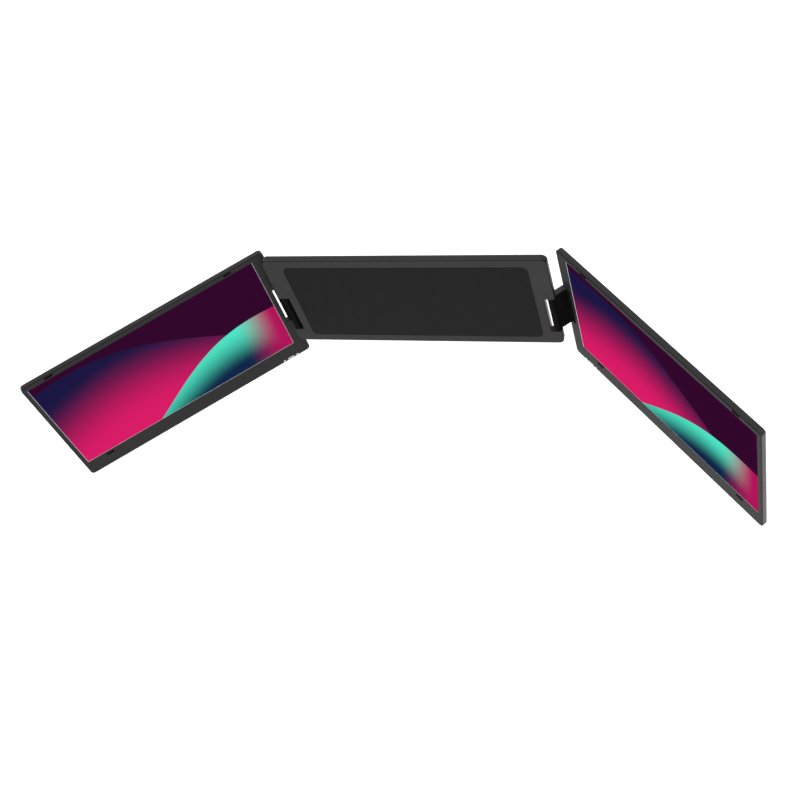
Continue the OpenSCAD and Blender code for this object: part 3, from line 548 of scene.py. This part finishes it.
def selectNothing(kind):
    # clears the selection of edges or faces, so that the caller can make one in object mode
    bpy.ops.object.mode_set(mode="EDIT")
    bpy.ops.mesh.select_all(action="DESELECT")
    bpy.ops.mesh.select_mode(type=kind)
    bpy.ops.object.mode_set(mode="OBJECT")


def bevelEdges(obj, wanted, width, segments):
    # rounds the edges whose two ends pass a test
    mesh = obj.data
    selectNothing("EDGE")
    for edge in mesh.edges:
        edge.select = wanted(*(mesh.vertices[index].co for index in edge.vertices))
    bpy.ops.object.mode_set(mode="EDIT")
    bpy.ops.mesh.bevel(offset=width, segments=segments, affect="EDGES")
    bpy.ops.object.mode_set(mode="OBJECT")


# Screws with a cross recess, in place of the plain ones
screwSet = {
    "headHigh": 0.0007,
    "headRound": 0.00018,
    "headSides": 40,
    "roundSteps": 4,
    "shankRadius": 0.0008,
    "recessWide": 0.00042,
    "recessLong": 0.0019,
    "recessDeep": 0.00042,
    "faceSlack": 0.00001,    # how far a point of a head's face may lie under the outermost one
    "headApart": 0.005,      # points of one face lie nearer together than this
}


def headPlaces(node, way, spec):
    # centre and radius of every head's face: the points furthest out, gathered into clumps
    top = reach(node, way)[1] - spec["faceSlack"]
    clumps = []
    for spot in (v.co.copy() for v in nodes[node].data.vertices if v.co.dot(way) > top):
        near = next((c for c in clumps if (c[0] - spot).length < spec["headApart"]), None)
        if near:
            near.append(spot)
        else:
            clumps.append([spot])
    centres = []
    for clump in clumps:
        middle = sum(clump, Vector()) / len(clump)
        centres.append((middle, max((spot - middle).length for spot in clump)))
    return centres


def growShank(screw, radius, length, spec):
    # draws the shank out of the head's underside
    selectNothing("FACE")
    under = min(screw.data.polygons, key=lambda face: face.center.z)
    under.select = True
    bpy.ops.object.mode_set(mode="EDIT")
    bpy.ops.mesh.inset(thickness=radius - spec["headRound"] - spec["shankRadius"])
    bpy.ops.mesh.extrude_region_move(TRANSFORM_OT_translate={"value": (0, 0, -length)})
    bpy.ops.object.mode_set(mode="OBJECT")


def cutSlot(screw, turn, spec):
    # the bar lies half in the head, so it is twice as high as the slot is deep
    bpy.ops.object.select_all(action="DESELECT")
    bpy.ops.mesh.primitive_cube_add(size=1)
    bar = bpy.context.object
    bar.scale = (spec["recessLong"], spec["recessWide"], spec["recessDeep"] * 2)
    bar.rotation_euler = (0, 0, math.radians(turn))
    bpy.ops.object.transform_apply(rotation=True, scale=True)
    cut = screw.modifiers.new("cut", "BOOLEAN")
    cut.object = bar
    cut.solver = "EXACT"
    bpy.ops.object.select_all(action="DESELECT")
    screw.select_set(True)
    applyAll(screw)
    bpy.data.objects.remove(bar)


def makeScrew(radius, shankLength, spec):
    # the head's face lies at the origin and the shank points down
    bpy.ops.object.select_all(action="DESELECT")
    high = spec["headHigh"]
    bpy.ops.mesh.primitive_cylinder_add(vertices=spec["headSides"], radius=radius, depth=high,
                                        location=(0, 0, -high / 2))
    screw = bpy.context.object
    bpy.ops.object.transform_apply(location=True)
    soften = screw.modifiers.new("soften", "BEVEL")
    soften.width = spec["headRound"]
    soften.segments = spec["roundSteps"]
    applyAll(screw)
    growShank(screw, radius, shankLength, spec)
    for turn in (0, 90):
        cutSlot(screw, turn, spec)
    return screw


def makeScrews(node, way, body, spec):
    # one screw is made for each plain one, and all are joined in the plain ones' place
    copies = []
    low, high = reach(node, way)
    turned = way.to_track_quat("Z", "Y").to_matrix().to_4x4()
    for place, radius in headPlaces(node, way, spec):
        screw = makeScrew(radius, high - low - spec["headHigh"], spec)
        screw.data.transform(Matrix.Translation(place) @ turned)
        copies.append(screw)
    bpy.ops.object.select_all(action="DESELECT")
    for copy in copies:
        copy.select_set(True)
    bpy.context.view_layer.objects.active = copies[0]
    bpy.ops.object.join()
    screws = bpy.context.object
    screws.name = node + "_crossed"
    screws.data.materials.clear()
    screws.data.materials.append(screwBlack)
    bpy.ops.object.shade_smooth_by_angle(angle=smoothAngle)
    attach(screws, body)
    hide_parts(node)


makeScrews("frame_screws", rearWay, "frame", screwSet)
for side in sides:
    makeScrews(side + "_screen_screws", backWay(side), side + "_screen", screwSet)
print("screws made")

# Backs of the arms: the webs' full depth, between two distances behind the hinge axes
armBackSet = {
    "inner": 0.0030,
    "outer": 0.0058,
    "shoulder": 0.0026,
    "shoulderSteps": 8,
    "chamfer": 0.0006,
    "chamferSteps": 2,
    "short": 0.0001,         # what it lacks of the arm's height
    "sameSpot": 0.000001,
}


def makeArmBack(side, spec):
    start = hinges[side + "_arm_swing"]
    along = hinges[side + "_screen_turn"] - start
    length = along.length
    along.normalize()
    back = Vector((-along.y, along.x, 0)) if side == "right" else Vector((along.y, -along.x, 0))
    low, high = reach(side + "_arm", upWay)
    deep = spec["outer"] - spec["inner"]
    tall = high - low - spec["short"]

    def isShoulder(a, b):
        # the upright edges at both ends of the back
        return a.y > 0 and b.y > 0 and abs(a.x - b.x) < spec["sameSpot"]

    def isRim(a, b):
        # the edges round the top and bottom, apart from those against the arm
        return abs(a.z - b.z) < spec["sameSpot"] and min(a.y, b.y) > spec["sameSpot"] - deep / 2

    bpy.ops.object.select_all(action="DESELECT")
    bpy.ops.mesh.primitive_cube_add(size=1)
    plate = bpy.context.object
    plate.name = side + "_arm_back"
    plate.scale = (length, deep, tall)
    bpy.ops.object.transform_apply(scale=True)
    bevelEdges(plate, isShoulder, spec["shoulder"], spec["shoulderSteps"])
    bevelEdges(plate, isRim, spec["chamfer"], spec["chamferSteps"])
    middle = start + along * (length / 2) + back * ((spec["inner"] + spec["outer"]) / 2)
    middle.z = (low + high) / 2
    axes = Matrix((along, back, along.cross(back))).transposed()
    plate.data.transform(Matrix.Translation(middle) @ axes.to_4x4())
    plate.data.materials.append(armPaint)
    bpy.ops.object.shade_smooth_by_angle(angle=smoothAngle)
    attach(plate, side + "_link")


for side in sides:
    makeArmBack(side, armBackSet)
print("arm backs made")

# Pale floor, soft lamps and a pale world. Where the floor and the world show as background
# they are brighter than the light that they give the object
studioSet = {
    "floorHeight": -0.150,
    "floorSize": 12,
    "floorTone": 0.8,
    "floorWhite": 0.72,
    "worldFill": 0.55,
    "worldWhite": 1.0,
}
white = (1, 1, 1, 1)


def seenShare(tree):
    # 1 for rays that show a background to the eye, a gloss or a glass
    path = tree.nodes.new("ShaderNodeLightPath")
    seen = mathNode(tree, "MAXIMUM", path.outputs["Is Camera Ray"], path.outputs["Is Glossy Ray"])
    return mathNode(tree, "MAXIMUM", seen, path.outputs["Is Transmission Ray"])


def pickSeen(tree, plain, seen, output):
    # the plain shader lights the object, and the other one is what shows behind it
    pick = tree.nodes.new("ShaderNodeMixShader")
    tree.links.new(seenShare(tree), pick.inputs[0])
    tree.links.new(plain, pick.inputs[1])
    tree.links.new(seen, pick.inputs[2])
    tree.links.new(pick.outputs[0], output.inputs["Surface"])


def makeFloor(spec):
    half = spec["floorSize"] / 2
    corners = ((-half, -half), (half, -half), (half, half), (-half, half))
    mesh = bpy.data.meshes.new("floor")
    mesh.from_pydata([(x, y, spec["floorHeight"]) for x, y in corners], [], [(0, 1, 2, 3)])
    floor = bpy.data.objects.new("floor", mesh)
    bpy.context.scene.collection.objects.link(floor)
    mat, tree, shader = newMaterial("floorPaper")
    shader.inputs["Base Color"].default_value = (spec["floorTone"],) * 3 + (1,)
    shader.inputs["Roughness"].default_value = 1
    shader.inputs["Specular IOR Level"].default_value = 0
    glow = addNode(tree, "ShaderNodeEmission", Strength=spec["floorWhite"])
    both = tree.nodes.new("ShaderNodeAddShader")
    tree.links.new(shader.outputs[0], both.inputs[0])
    tree.links.new(glow.outputs[0], both.inputs[1])
    pickSeen(tree, shader.outputs[0], both.outputs[0], tree.nodes["Material Output"])
    mesh.materials.append(mat)


def makeWorld(spec):
    world = bpy.data.worlds.new("studio")
    bpy.context.scene.world = world
    world.use_nodes = True
    tree = world.node_tree
    fill = tree.nodes["Background"]
    fill.inputs["Strength"].default_value = spec["worldFill"]
    fill.inputs["Color"].default_value = white
    seen = addNode(tree, "ShaderNodeBackground", Strength=spec["worldWhite"], Color=white)
    pickSeen(tree, fill.outputs[0], seen.outputs[0], tree.nodes["World Output"])


lamps = [
    {"name": "keyLamp", "place": (0.6, -0.8, 1.5), "aim": (0, 0, 0), "size": 1.2, "power": 16},
    {"name": "backLamp", "place": (-0.4, 0.85, 1.35), "aim": (0, 0, 0), "size": 1.4, "power": 1.5},
]


def makeLamp(spec):
    data = bpy.data.lights.new(spec["name"], "AREA")
    data.size = spec["size"]
    data.energy = spec["power"]
    lamp = bpy.data.objects.new(spec["name"], data)
    bpy.context.scene.collection.objects.link(lamp)
    lamp.location = spec["place"]
    way = Vector(spec["aim"]) - Vector(spec["place"])
    lamp.rotation_euler = way.to_track_quat("-Z", "Y").to_euler()


makeFloor(studioSet)
makeWorld(studioSet)
for lamp in lamps:
    makeLamp(lamp)
print("studio made")
